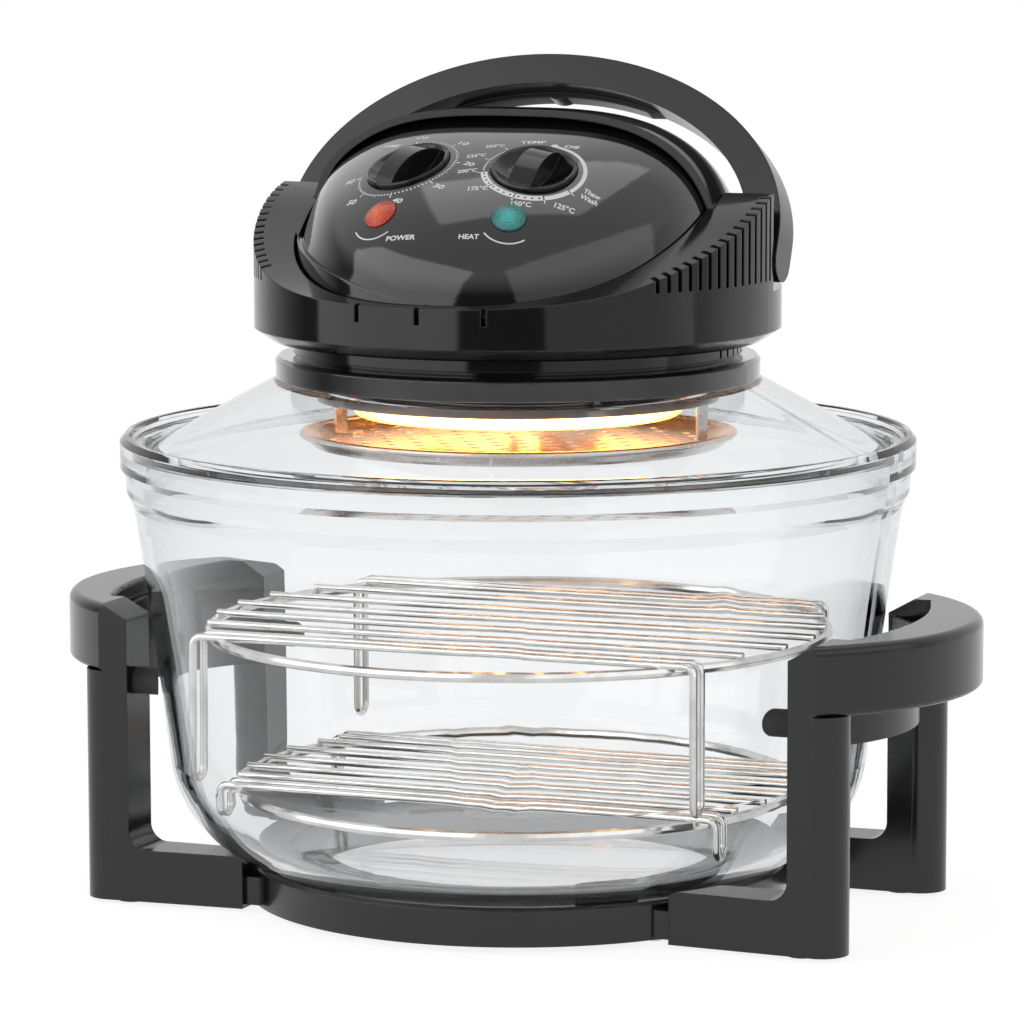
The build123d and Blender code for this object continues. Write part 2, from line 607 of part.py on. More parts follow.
with BuildPart() as rear_cover:
    loft(dome_stations(COVER_PROUD, -COVER_SPLIT, 1))
    loft(dome_stations(COVER_PROUD - PANEL_WALL, -COVER_SPLIT, 1), mode=Mode.SUBTRACT)
    # bosses that the handle's pins turn in
    for side in (-1, 1):
        with BuildSketch(Plane.YZ.offset(side * 87)) as boss:
            with Locations((PIVOT_Y, PIVOT_Z)):
                Circle(8.5)
        extrude(amount=side * 10.6)
        with BuildSketch(Plane.YZ.offset(side * 80)) as pin_bore:
            with Locations((PIVOT_Y, PIVOT_Z)):
                Circle(PIN_RADIUS + RUNNING)
        extrude(amount=side * 20, mode=Mode.SUBTRACT)
    # louvres at the back
    with BuildSketch(Plane.XZ.offset(-60)) as louvres:
        with Locations((0, 286)):
            with GridLocations(7, 1, 9, 1):
                SlotOverall(24, 2.6, rotation=90)
    extrude(amount=-60, mode=Mode.SUBTRACT)
rear_cover.part.label = "rear_cover"
export_step(rear_cover.part, "parts/rear_cover.step")

for name, seat in LENSES.items():
    with BuildPart() as lens:
        with BuildSketch(upright(seat)) as lens_section:
            with BuildLine():
                crown = TangentArc((0, 2.4), (LENS_RADIUS - 0.1, 0.4), tangent=(1, 0))
                Polyline(crown @ 1, (LENS_RADIUS - 0.1, -2), (0, -2), crown @ 0)
            make_face()
        revolve(axis=Axis(seat.origin, seat.z_dir))
    lens.part.label = f"{name}_lens"
    export_step(lens.part, f"parts/{name}_lens.step")

with BuildPart() as indicator_lamps:
    for seat in LENSES.values():
        with BuildSketch(seat.offset(-14)) as lamp_tube:
            Circle(3)
        extrude(amount=11.5)
indicator_lamps.part.label = "indicator_lamps"
export_step(indicator_lamps.part, "parts/indicator_lamps.step")

# ---------------------------------------------------------------- knobs and what they turn
for name, seat in DIALS.items():
    axis = Axis(seat.origin, seat.z_dir)
    pointer = radians(KNOB_POINTERS[name])
    along = seat.y_dir * cos(pointer) + seat.x_dir * sin(pointer)
    with BuildPart() as knob:
        with BuildSketch(upright(seat)) as dish_section:
            with BuildLine():
                dish = ThreePointArc((0, -4.6), (10, -3.4), (DIAL_RADIUS - 1.8, 0.6))
                Polyline(
                    dish @ 1,
                    (DIAL_RADIUS - 0.9, 0.9),
                    (DIAL_RADIUS - 0.3, 0.3),
                    (DIAL_RADIUS - 0.3, -7),
                    (0, -7),
                    dish @ 0,
                )
            make_face()
        revolve(axis=axis)
        # the arched bar that fingers turn
        with BuildSketch(Plane(origin=seat.origin, x_dir=along, z_dir=along.cross(seat.z_dir))) as bar_side:
            with BuildLine():
                arch = ThreePointArc((-15.6, -0.6), (0, 5.6), (15.6, -0.6))
                Polyline(arch @ 1, (13, -5), (-13, -5), arch @ 0)
            make_face()
        extrude(amount=5.2, both=True)
        # bored underneath for the spindle
        with BuildSketch(seat.offset(-7)) as socket:
            Circle(SHAFT_RADIUS)
        extrude(amount=4, mode=Mode.SUBTRACT)
    knob.part.label = f"{name}_knob"
    export_step(knob.part, f"parts/{name}_knob.step")

    with BuildPart() as spindle:
        with BuildSketch(seat.offset(-3)) as spindle_round:
            Circle(SHAFT_RADIUS)
        extrude(amount=-13)
    spindle.part.label = f"{name}_spindle"
    export_step(spindle.part, f"parts/{name}_spindle.step")

with BuildPart() as timer_unit:
    seat = DIALS["timer"]
    with BuildSketch(seat.offset(-11)) as timer_case:
        RectangleRounded(32, 32, 3)
    extrude(amount=-20)
    with BuildSketch(seat.offset(-9.8)) as timer_bush:
        Circle(4)
    extrude(amount=-3)
    with BuildSketch(seat.offset(-9)) as timer_bore:
        Circle(SHAFT_RADIUS + RUNNING)
    extrude(amount=-9, mode=Mode.SUBTRACT)
timer_unit.part.label = "timer_unit"
export_step(timer_unit.part, "parts/timer_unit.step")

with BuildPart() as thermostat_unit:
    seat = DIALS["thermostat"]
    with BuildSketch(seat.offset(-11)) as thermostat_frame:
        RectangleRounded(30, 24, 2)
    extrude(amount=-2)
    with BuildSketch(seat.offset(-13)) as thermostat_body:
        Circle(13)
    extrude(amount=-14)
    with BuildSketch(seat.offset(-9.8)) as thermostat_bush:
        Circle(4)
    extrude(amount=-3)
    with BuildSketch(seat.offset(-9)) as thermostat_bore:
        Circle(SHAFT_RADIUS + RUNNING)
    extrude(amount=-9, mode=Mode.SUBTRACT)
thermostat_unit.part.label = "thermostat_unit"
export_step(thermostat_unit.part, "parts/thermostat_unit.step")

# ---------------------------------------------------------------- carrying handle
lean = radians(HANDLE_LEAN)
inner_half = HANDLE_HALF - HANDLE_BAR
crown = HANDLE_LEG + HANDLE_RISE - HANDLE_CROWN
handle_plane = Plane(origin=(0, PIVOT_Y, PIVOT_Z), x_dir=(1, 0, 0), z_dir=(0, -cos(lean), sin(lean)))
with BuildPart() as carry_handle:
    with BuildSketch(handle_plane) as bow:
        with BuildLine():
            over = EllipticalCenterArc((0, HANDLE_LEG), HANDLE_HALF, HANDLE_RISE, arc_size=180)
            under = EllipticalCenterArc((0, HANDLE_LEG), inner_half, HANDLE_RISE - HANDLE_CROWN, arc_size=180)
            Polyline(over @ 1, (-HANDLE_HALF, 0), (-inner_half, 0), under @ 1)
            Polyline(under @ 0, (inner_half, 0), (HANDLE_HALF, 0), over @ 0)
        make_face()
    extrude(amount=HANDLE_DEPTH / 2, both=True)
    # a rib under the crown, along its rear edge, with three bumps that part the fingers
    with BuildSketch(handle_plane.offset(-HANDLE_DEPTH / 2)) as grip_rib:
        with Locations((0, HANDLE_LEG)):
            Ellipse(inner_half + 1, HANDLE_RISE - HANDLE_CROWN + 1)
            Ellipse(inner_half - 0.2, HANDLE_RISE - HANDLE_CROWN - GRIP_RIB, mode=Mode.SUBTRACT)
        with Locations(*[(x, crown + FINGER_RADIUS - 3.4) for x in (-22, 0, 22)]):
            Circle(FINGER_RADIUS)
        with Locations((0, crown)):
            Rectangle(140, 17, mode=Mode.INTERSECT)
        with Locations((0, HANDLE_LEG)):
            Ellipse(HANDLE_HALF - 1, HANDLE_RISE - 1, mode=Mode.INTERSECT)
    extrude(amount=GRIP_RIB_DEPTH)
    for side in (-1, 1):
        with BuildSketch(Plane.YZ.offset(side * inner_half)) as arm_end:
            with Locations((PIVOT_Y, PIVOT_Z)):
                Circle(HANDLE_DEPTH / 2)
        extrude(amount=side * HANDLE_BAR)
    for side in (-1, 1):
        with BuildSketch(Plane.YZ.offset(side * (inner_half - 1))) as pin_socket:
            with Locations((PIVOT_Y, PIVOT_Z)):
                Circle(PIN_RADIUS)
        extrude(amount=side * 12, mode=Mode.SUBTRACT)
carry_handle.part.label = "carry_handle"
export_step(carry_handle.part, "parts/carry_handle.step")

with BuildPart() as handle_pins:
    for side in (-1, 1):
        with BuildSketch(Plane.YZ.offset(side * 79)) as pin_round:
            with Locations((PIVOT_Y, PIVOT_Z)):
                Circle(PIN_RADIUS)
        extrude(amount=side * 30)
    # the finger that holds the safety switch down while the handle lies back
    with BuildSketch(Plane.YZ.offset(79)) as finger:
        with Locations((PIVOT_Y, PIVOT_Z - 10)):
            Circle(2.5)
        with Locations((PIVOT_Y, PIVOT_Z - 5)):
            Rectangle(5, 10)
    extrude(amount=5)
handle_pins.part.label = "handle_pins"
export_step(handle_pins.part, "parts/handle_pins.step")

with BuildPart() as safety_switch:
    with Locations((81.5, PIVOT_Y, CHASSIS_TOP)):
        Box(9, 22, 14, align=(Align.CENTER, Align.CENTER, Align.MIN))
    with Locations((81.5, PIVOT_Y, CHASSIS_TOP + 6)):
        Cylinder(1.5 + RUNNING, 20, align=(Align.CENTER, Align.CENTER, Align.MIN), mode=Mode.SUBTRACT)
safety_switch.part.label = "safety_switch"
export_step(safety_switch.part, "parts/safety_switch.step")

with BuildPart() as switch_plunger:
    with Locations((81.5, PIVOT_Y, CHASSIS_TOP + 8)):
        Cylinder(1.5, PIVOT_Z - 12.9 - CHASSIS_TOP - 8, align=(Align.CENTER, Align.CENTER, Align.MIN))
switch_plunger.part.label = "switch_plunger"
export_step(switch_plunger.part, "parts/switch_plunger.step")

# ---------------------------------------------------------------- inside the head
with BuildPart() as chassis_plate:
    with BuildSketch(Plane.XY.offset(BAND_BOTTOM + WALL)) as chassis_plan:
        Circle(104)
        Circle(9, mode=Mode.SUBTRACT)
        with PolarLocations(101, 4, start_angle=45):
            Circle(1.8, mode=Mode.SUBTRACT)
        with PolarLocations(60, 12):
            SlotOverall(16, 4, mode=Mode.SUBTRACT)
    extrude(amount=CHASSIS_TOP - BAND_BOTTOM - WALL)
chassis_plate.part.label = "chassis_plate"
export_step(chassis_plate.part, "parts/chassis_plate.step")

with BuildPart() as housing_screws:
    with PolarLocations(101, 4, start_angle=45):
        with Locations((0, 0, CHASSIS_TOP)):
            Cylinder(3, 2, align=(Align.CENTER, Align.CENTER, Align.MIN))
            Cylinder(1.5, 3.6, align=(Align.CENTER, Align.CENTER, Align.MAX))
housing_screws.part.label = "housing_screws"
export_step(housing_screws.part, "parts/housing_screws.step")

with BuildPart() as heat_shield:
    revolve(
        outline(
            [
                (6, SHIELD_TOP - 1),
                (85.6, SHIELD_TOP - 1),
                (85.6, SHIELD_TOP + 4),
                (84.6, SHIELD_TOP + 4),
                (84.6, SHIELD_TOP),
                (6, SHIELD_TOP),
            ]
        ),
        axis=Axis.Z,
    )
heat_shield.part.label = "heat_shield"
export_step(heat_shield.part, "parts/heat_shield.step")

with BuildPart() as spacers:
    with PolarLocations(76, 4, start_angle=45):
        with Locations((0, 0, REFLECTOR_TOP)):
            Cylinder(3, SHIELD_TOP - 1 - REFLECTOR_TOP, align=(Align.CENTER, Align.CENTER, Align.MIN))
        with Locations((0, 0, SHIELD_TOP)):
            Cylinder(3, BAND_BOTTOM + WALL - SHIELD_TOP, align=(Align.CENTER, Align.CENTER, Align.MIN))
spacers.part.label = "spacers"
export_step(spacers.part, "parts/spacers.step")

with BuildPart() as reflector_plate:
    revolve(
        outline(
            [
                (6, REFLECTOR_TOP - 1),
                (REFLECTOR_RADIUS - 3, REFLECTOR_TOP - 1),
                (REFLECTOR_RADIUS - 1, REFLECTOR_TOP - 5),
                (REFLECTOR_RADIUS, REFLECTOR_TOP - 5),
                (REFLECTOR_RADIUS - 2.2, REFLECTOR_TOP),
                (6, REFLECTOR_TOP),
            ]
        ),
        axis=Axis.Z,
    )
reflector_plate.part.label = "reflector_plate"
export_step(reflector_plate.part, "parts/reflector_plate.step")

with BuildPart() as heater_guard:
    with BuildSketch(Plane.XZ) as tray_section:
        with BuildLine():
            Polyline(
                (0, TRAY_FLOOR),
                (TRAY_WALL - 1.5, TRAY_FLOOR),
                (TRAY_WALL, TRAY_FLOOR + 1.2),
                (TRAY_RIM - 0.5, TRAY_TOP),
                (TRAY_RIM - 1.5, TRAY_TOP),
                (TRAY_WALL - 1, TRAY_FLOOR + 1.8),
                (TRAY_WALL - 1.9, TRAY_FLOOR + 1),
                (0, TRAY_FLOOR + 1),
                close=True,
            )
        make_face()
        with Locations((TRAY_RIM, TRAY_TOP)):
            Circle(TRAY_BEAD)
    revolve(axis=Axis.Z)
    reach = int(TRAY_WALL / TRAY_PITCH) + 1
    spots = []
    for row in range(-reach, reach + 1):
        for column in range(-reach, reach + 1):
            x = (column + row % 2 / 2) * TRAY_PITCH
            y = row * TRAY_PITCH * sqrt(3) / 2
            if x**2 + y**2 < (TRAY_WALL - 9) ** 2:
                spots.append((x, y))
    with BuildSketch(Plane.XY.offset(TRAY_FLOOR - 1)) as perforations:
        with Locations(*spots):
            RegularPolygon(TRAY_HOLE, 6)
    extrude(amount=3, mode=Mode.SUBTRACT)
heater_guard.part.label = "heater_guard"
export_step(heater_guard.part, "parts/heater_guard.step")

with BuildPart() as guard_brackets:
    with BuildSketch(Plane.XZ) as bracket_side:
        with BuildLine():
            Polyline(
                (74, TRAY_FLOOR + 1),
                (83.5, TRAY_FLOOR + 1),
                (83.5, REFLECTOR_TOP - 5.2),
                (81.5, REFLECTOR_TOP - 1),
                (74, REFLECTOR_TOP - 1),
                (74, REFLECTOR_TOP - 2.2),
                (81, REFLECTOR_TOP - 2.2),
                (82.3, REFLECTOR_TOP - 5.4),
                (82.3, TRAY_FLOOR + 2.2),
                (74, TRAY_FLOOR + 2.2),
                close=True,
            )
        make_face()
    extrude(amount=6, both=True)
    mirror(about=Plane.YZ)
guard_brackets.part.label = "guard_brackets"
export_step(guard_brackets.part, "parts/guard_brackets.step")

with BuildPart() as halogen_lamp:
    end = radians(90 + LAMP_GAP)
    with BuildSketch(Plane((0, 0, 0), x_dir=(cos(end), sin(end), 0), z_dir=(sin(end), -cos(end), 0))) as tube:
        with Locations((LAMP_RING, LAMP_HEIGHT)):
            Circle(LAMP_TUBE)
    revolve(axis=Axis.Z, revolution_arc=360 - 2 * LAMP_GAP)
halogen_lamp.part.label = "halogen_lamp"
export_step(halogen_lamp.part, "parts/halogen_lamp.step")

with BuildPart() as lamp_sockets:
    for turn in (90 - LAMP_GAP, 90 + LAMP_GAP):
        inward = 1 if turn < 90 else -1
        with Locations(Location((0, 0, 0), (0, 0, turn))):
            with Locations((LAMP_RING, inward * 5.5, LAMP_HEIGHT - 6)):
                Box(14, 11, REFLECTOR_TOP + 5 - LAMP_HEIGHT, align=(Align.CENTER, Align.CENTER, Align.MIN))
lamp_sockets.part.label = "lamp_sockets"
export_step(lamp_sockets.part, "parts/lamp_sockets.step")

with BuildPart() as lamp_clips:
    for turn in (-12, 192):
        with Locations(Location((0, 0, 0), (0, 0, turn))):
            with Locations((LAMP_RING, 0, LAMP_HEIGHT)):
                Box(14, 4, REFLECTOR_TOP - 1 - LAMP_HEIGHT, align=(Align.CENTER, Align.CENTER, Align.MIN))
    with BuildSketch(Plane.XZ) as clearance:
        with Locations((LAMP_RING, LAMP_HEIGHT)):
            Circle(LAMP_TUBE + 0.1)
    revolve(axis=Axis.Z, mode=Mode.SUBTRACT)
lamp_clips.part.label = "lamp_clips"
export_step(lamp_clips.part, "parts/lamp_clips.step")

with BuildPart() as fan_shaft:
    with Locations((0, 0, 205)):
        Cylinder(SHAFT_RADIUS, 78, align=(Align.CENTER, Align.CENTER, Align.MIN))
fan_shaft.part.label = "fan_shaft"
export_step(fan_shaft.part, "parts/fan_shaft.step")


def fan(radius, hub, bottom, height, blades, pitch):
    """A pressed fan: a hub on the shaft and flat blades set at a pitch."""
    with BuildPart() as wheel:
        with Locations((0, 0, bottom)):
            Cylinder(hub, height, align=(Align.CENTER, Align.CENTER, Align.MIN))
        for step in range(blades):
            with Locations(Location((0, 0, 0), (0, 0, 360 * step / blades))):
                with Locations(Location(((hub + radius) / 2 - 1, 0, bottom + height / 2), (pitch, 0, 0))):
                    Box(radius - hub + 2, height / sin(radians(pitch)) - 1.5, 1)
        Cylinder(SHAFT_RADIUS, 2000, mode=Mode.SUBTRACT)
    return wheel.part


wheel = fan(46, 8, 206, 10, 6, 40)
with BuildPart() as convection_fan:
    add(wheel)
convection_fan.part.label = "convection_fan"
export_step(convection_fan.part, "parts/convection_fan.step")

wheel = fan(30, 7, 274, 8, 8, 40)
with BuildPart() as cooling_fan:
    add(wheel)
cooling_fan.part.label = "cooling_fan"
export_step(cooling_fan.part, "parts/cooling_fan.step")

with BuildPart() as motor_rotor:
    with Locations((0, 0, 252.5)):
        Cylinder(12.4, 15, align=(Align.CENTER, Align.CENTER, Align.MIN))
        Cylinder(SHAFT_RADIUS, 15, align=(Align.CENTER, Align.CENTER, Align.MIN), mode=Mode.SUBTRACT)
motor_rotor.part.label = "motor_rotor"
export_step(motor_rotor.part, "parts/motor_rotor.step")

with BuildPart() as fan_motor:
    # laminated stator with an open leg for the coil
    with BuildSketch(Plane.XY.offset(253)) as lamination:
        Rectangle(56, 40)
        with Locations((0, 33)):
            Rectangle(56, 30)
        with Locations((0, 32)):
            Rectangle(34, 14, mode=Mode.SUBTRACT)
        Circle(13, mode=Mode.SUBTRACT)
    extrude(amount=14)
    # bearing brackets below and above, on corner posts
    with BuildSketch(Plane.XY.offset(CHASSIS_TOP)) as bridges:
        Rectangle(64, 16)
        Circle(SHAFT_RADIUS + RUNNING, mode=Mode.SUBTRACT)
    extrude(amount=2.5)
    with BuildSketch(Plane.XY.offset(270.5)) as top_bridge:
        Rectangle(64, 16)
        Circle(SHAFT_RADIUS + RUNNING, mode=Mode.SUBTRACT)
    extrude(amount=2.5)
    with BuildSketch(Plane.XY.offset(CHASSIS_TOP)) as posts:
        with Locations((-24, 0), (24, 0)):
            Circle(3.5)
    extrude(amount=26)
fan_motor.part.label = "fan_motor"
export_step(fan_motor.part, "parts/fan_motor.step")

with BuildPart() as motor_coil:
    with Locations((0, 43.5, 260)):
        Box(32, 15, 26)
    with Locations((0, 43.5, 260)):
        Box(60, 9.2, 14.2, mode=Mode.SUBTRACT)
motor_coil.part.label = "motor_coil"
export_step(motor_coil.part, "parts/motor_coil.step")

with BuildPart() as thermal_cutoff:
    with Locations((40, -40, SHIELD_TOP)):
        Cylinder(8, 5, align=(Align.CENTER, Align.CENTER, Align.MIN))
        Cylinder(5, 9, align=(Align.CENTER, Align.CENTER, Align.MIN))
thermal_cutoff.part.label = "thermal_cutoff"
export_step(thermal_cutoff.part, "parts/thermal_cutoff.step")

with BuildPart() as terminal_block:
    with Locations((0, 80, CHASSIS_TOP)):
        Box(44, 14, 12, align=(Align.CENTER, Align.CENTER, Align.MIN))
    with Locations((0, 80, CHASSIS_TOP + 12)):
        with GridLocations(10, 1, 4, 1):
            Cylinder(3, 10, mode=Mode.SUBTRACT)
terminal_block.part.label = "terminal_block"
export_step(terminal_block.part, "parts/terminal_block.step")

with BuildPart() as cord_gland:
    # a grommet through the housing's rear wall
    gland_side = Plane(origin=(0, BAND_RADIUS, GLAND_HEIGHT), x_dir=(1, 0, 0), z_dir=(0, 0, 1))
    with BuildSketch(gland_side) as gland_section:
        with BuildLine():
            Polyline(
                (3.5, 2.2),
                (6.6, 2.2),
                (7.2, 1.4),
                (7.2, 0.2),
                (5.4, 0.2),
                (5.4, -4.3),
                (6.2, -4.3),
                (6.2, -6),
                (3.5, -6),
                close=True,
            )
        make_face()
    revolve(axis=Axis(gland_side.origin, (0, 1, 0)))
cord_gland.part.label = "cord_gland"
export_step(cord_gland.part, "parts/cord_gland.step")
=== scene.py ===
"""A tabletop halogen oven in a white studio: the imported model's nodes get their materials, and the print on
the control panel is added as pieces of its own. Lengths are in metres; the print is drawn in millimetres."""

from math import cos, pi, radians, sin

import bmesh
import bpy
from mathutils import Matrix, Vector
from mathutils.bvhtree import BVHTree


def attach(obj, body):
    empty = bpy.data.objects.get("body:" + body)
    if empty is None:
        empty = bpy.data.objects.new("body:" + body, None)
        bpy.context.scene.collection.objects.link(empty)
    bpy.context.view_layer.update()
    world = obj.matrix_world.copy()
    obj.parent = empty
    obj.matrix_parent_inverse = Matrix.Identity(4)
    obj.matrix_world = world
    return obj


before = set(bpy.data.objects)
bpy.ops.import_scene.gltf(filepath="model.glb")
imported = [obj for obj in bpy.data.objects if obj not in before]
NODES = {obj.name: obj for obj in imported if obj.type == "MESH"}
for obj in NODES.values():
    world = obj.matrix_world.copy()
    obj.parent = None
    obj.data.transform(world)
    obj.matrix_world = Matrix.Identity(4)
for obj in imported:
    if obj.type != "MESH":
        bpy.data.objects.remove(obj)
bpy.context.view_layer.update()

MM = 0.001

# Camera, at the photograph's viewpoint
CAMERA_AZIMUTH = radians(21.62)
CAMERA_ELEVATION = radians(7.747)
CAMERA_ROLL = radians(-0.101)
CAMERA_DISTANCE = 2.1619
CAMERA_LENS = 177.23
AIM_ACROSS = -2.656 * MM
AIM_HEIGHT = 167.23 * MM

# Heights between which the glass's painted shade at a slant fades towards the rim
RIM_FOOT, RIM_TOP = 185 * MM, 202 * MM

# The two indicator lamps' lenses
LENS_RADIUS = 6.5 * MM
PRISM_PITCH = 1.25 * MM

# Circles on the control panel, as seen from above, round the dials and the indicator lamps
DIAL_X, DIAL_Y, DIAL_RADIUS = 28.25 * MM, -53.0 * MM, 21 * MM
LAMP_X, LAMP_Y, LAMP_RADIUS = 28.5 * MM, -82.0 * MM, 10 * MM
PROBES = 24             # points of such a circle that are sought on the panel
ABOVE_PANEL = 0.4       # height from which they are sought

# Studio
FLOOR_RADIUS = 1.6
FLOOR_DROP = 0.3 * MM
FLOOR_SHADE = 0.26      # how strongly the floor shows shadows where it is seen
FLOOR_LIGHT = 0.87      # and its own light there
WORLD_FILL = 0.35       # the surrounding's light on matte surfaces
SOFTBOX_AIM = Vector((0, 0, 0.2))


# ---------------------------------------------------------------- shader helpers

def new_tree(name):
    """An empty material and its node tree."""
    material = bpy.data.materials.new(name)
    material.use_nodes = True
    material.node_tree.nodes.clear()
    return material, material.node_tree


def add(tree, kind, values=None, **settings):
    """A shader node with its settings, and with values or links on its named inputs."""
    node = tree.nodes.new("ShaderNode" + kind)
    for key, value in settings.items():
        setattr(node, key, value)
    for key, value in (values or {}).items():
        if isinstance(value, bpy.types.NodeSocket):
            tree.links.new(value, node.inputs[key])
        else:
            node.inputs[key].default_value = value
    return node


def calculate(tree, operation, first, second=None):
    """The result of a Math node on one or two values."""
    values = {0: first} if second is None else {0: first, 1: second}
    return add(tree, "Math", values, operation=operation).outputs[0]


def own_place(tree):
    """The shaded point in the object's own coordinates."""
    return add(tree, "TexCoord").outputs["Object"]


def noise(tree, scale, detail=2.0, roughness=0.5, stretch=(1, 1, 1)):
    """Noise from 0 to 1 in the object's own coordinates; scale is per metre."""
    mapping = add(tree, "Mapping", {"Vector": own_place(tree), "Scale": stretch})
    return add(tree, "TexNoise", {"Vector": mapping.outputs[0], "Scale": scale, "Detail": detail,
                                  "Roughness": roughness}).outputs["Fac"]


def cells(tree, scale):
    """The distance to the nearest Voronoi cell's centre, in the object's own coordinates."""
    return add(tree, "TexVoronoi", {"Vector": own_place(tree), "Scale": scale}).outputs["Distance"]


def spread(tree, value, low, high, start=0.0, end=1.0):
    """value, from start to end, mapped to low..high."""
    return add(tree, "MapRange", {"Value": value, "From Min": start, "From Max": end,
                                  "To Min": low, "To Max": high}).outputs[0]


def blend_colours(tree, factor, first, second):
    """A colour between first and second."""
    mix = add(tree, "Mix", data_type="RGBA")
    for socket, value in ((mix.inputs[0], factor), (mix.inputs[6], first), (mix.inputs[7], second)):
        if isinstance(value, bpy.types.NodeSocket):
            tree.links.new(value, socket)
        else:
            socket.default_value = value
    return mix.outputs[2]


def grey(level):
    """An RGBA grey."""
    return (level, level, level, 1)


def scaled(colour, factor, lift=0.0):
    """An RGBA colour made darker, or lighter up to 1."""
    return tuple(min(1, factor * channel + lift) for channel in colour[:3]) + (1,)


def edge_wear(tree, radius):
    """(rounded normal, how near an edge is from 0 to 1), from normals averaged over radius."""
    rounded = add(tree, "Bevel", {"Radius": radius}, samples=4).outputs[0]
    flat = add(tree, "NewGeometry").outputs["Normal"]
    along = add(tree, "VectorMath", {0: rounded, 1: flat}, operation="DOT_PRODUCT").outputs["Value"]
    return rounded, spread(tree, along, 1.0, 0.0, 0.75, 0.995)


def bump(tree, height, depth, strength=1.0, normal=None):
    """A normal disturbed by height, which runs from 0 to 1 over depth metres."""
    values = {"Height": height, "Distance": depth, "Strength": strength}
    if normal is not None:
        values["Normal"] = normal
    return add(tree, "Bump", values).outputs[0]


def principled(material, tree, values):
    """The material, with one Principled shader as its surface."""
    add(tree, "OutputMaterial", {"Surface": add(tree, "BsdfPrincipled", values).outputs[0]})
    return material


# ---------------------------------------------------------------- materials

def moulded_plastic(name, colour, gloss, grain, grain_depth, edge=0.8 * MM, coat=0.0):
    """Moulded plastic: a fine grain, drifting gloss, faint scuffs and a slightly paler worn edge."""
    material, tree = new_tree(name)
    rounded, worn = edge_wear(tree, edge)
    cloud = noise(tree, 28, 3)
    scuff = noise(tree, 420, 4, 0.7, stretch=(1, 1, 0.12))
    marks = spread(tree, scuff, 0.0, 1.0, 0.62, 0.8)
    body = blend_colours(tree, cloud, colour, scaled(colour, 0.72))
    tint = blend_colours(tree, worn, body, scaled(colour, 2.2, 0.002))
    rough = calculate(tree, "ADD", spread(tree, cloud, gloss * 0.85, gloss * 1.2),
                      spread(tree, marks, 0.0, 0.05))
    fine = bump(tree, noise(tree, grain, 2), grain_depth, 0.6, rounded)
    wavy = bump(tree, noise(tree, 45, 1), 0.05 * MM, 0.25, fine)
    values = {"Base Color": tint, "Roughness": rough, "Normal": wavy, "IOR": 1.5}
    if coat:
        values.update({"Coat Weight": coat, "Coat Roughness": 0.06, "Coat Normal": wavy})
    return principled(material, tree, values)


def clear_glass(name, tint, painted_slant_shade, density, smoke, waviness):
    """Pressed glass: faint waves, painted shade where it is seen at a slant below the rim, a cool tint that
    deepens along the edges, and light let through to the inside."""
    material, tree = new_tree(name)
    # Painted shade: the glass's colour darkens where it is seen at a slant, less so towards the rim.
    slant = calculate(tree, "POWER", add(tree, "LayerWeight", {"Blend": 0.5}).outputs["Facing"], 3.5)
    height = add(tree, "SeparateXYZ", {0: own_place(tree)}).outputs["Z"]
    below_rim = spread(tree, height, 1.0, 0.35, RIM_FOOT, RIM_TOP)
    shade = blend_colours(tree, calculate(tree, "MULTIPLY", slant, below_rim), tint, painted_slant_shade)
    waves = bump(tree, noise(tree, 35, 2, stretch=(1, 1, 0.5)), waviness, 0.5)
    smear = spread(tree, noise(tree, 16, 4, 0.6), 0.0, 0.012, 0.45, 0.8)
    glass = add(tree, "BsdfPrincipled", {"Base Color": shade, "Roughness": smear, "IOR": 1.34,
                                         "Transmission Weight": 1.0, "Specular IOR Level": 0.8,
                                         "Normal": waves})
    through = add(tree, "BsdfTransparent", {"Color": grey(0.93)})
    path = add(tree, "LightPath")
    passing = calculate(tree, "MAXIMUM", path.outputs["Is Shadow Ray"], path.outputs["Is Diffuse Ray"])
    surface = add(tree, "MixShader", {0: passing, 1: glass.outputs[0], 2: through.outputs[0]})
    depth = add(tree, "VolumeAbsorption", {"Color": smoke, "Density": density})
    add(tree, "OutputMaterial", {"Surface": surface.outputs[0], "Volume": depth.outputs[0]})
    return material


def metal(name, colour, rough, lines=(1, 1, 1), line_scale=900, depth=0.012 * MM, patina=None, lamp_light_tint=None):
    """Metal with drawn or brushed lines, clouded by handling. The last argument is painted light: the lamp's
    amber glow painted onto faces turned up to the lamp."""
    material, tree = new_tree(name)
    rounded, worn = edge_wear(tree, 0.4 * MM)
    cloud = noise(tree, 60, 3, 0.6)
    drawn = noise(tree, line_scale, 3, 0.6, stretch=lines)
    dull = patina or scaled(colour, 0.7)
    tint = blend_colours(tree, spread(tree, cloud, 0.0, 0.8, 0.4, 0.75), colour, dull)
    # Painted light: faces turned up to the lamp are tinted with its amber glow, not heat colour of the steel.
    if lamp_light_tint:
        upward = add(tree, "SeparateXYZ", {0: add(tree, "TexCoord").outputs["Normal"]}).outputs["Z"]
        tint = blend_colours(tree, spread(tree, upward, 0.0, 0.85, 0.1, 0.9), tint, lamp_light_tint)
    tint = blend_colours(tree, spread(tree, worn, 0.0, 0.5), tint, grey(0.85))
    level = calculate(tree, "ADD", spread(tree, drawn, rough * 0.7, rough * 1.3),
                      spread(tree, cloud, 0.0, 0.12, 0.5, 0.8))
    return principled(material, tree, {"Base Color": tint, "Metallic": 1.0, "Roughness": level,
                                       "Normal": bump(tree, drawn, depth, 0.5, rounded)})


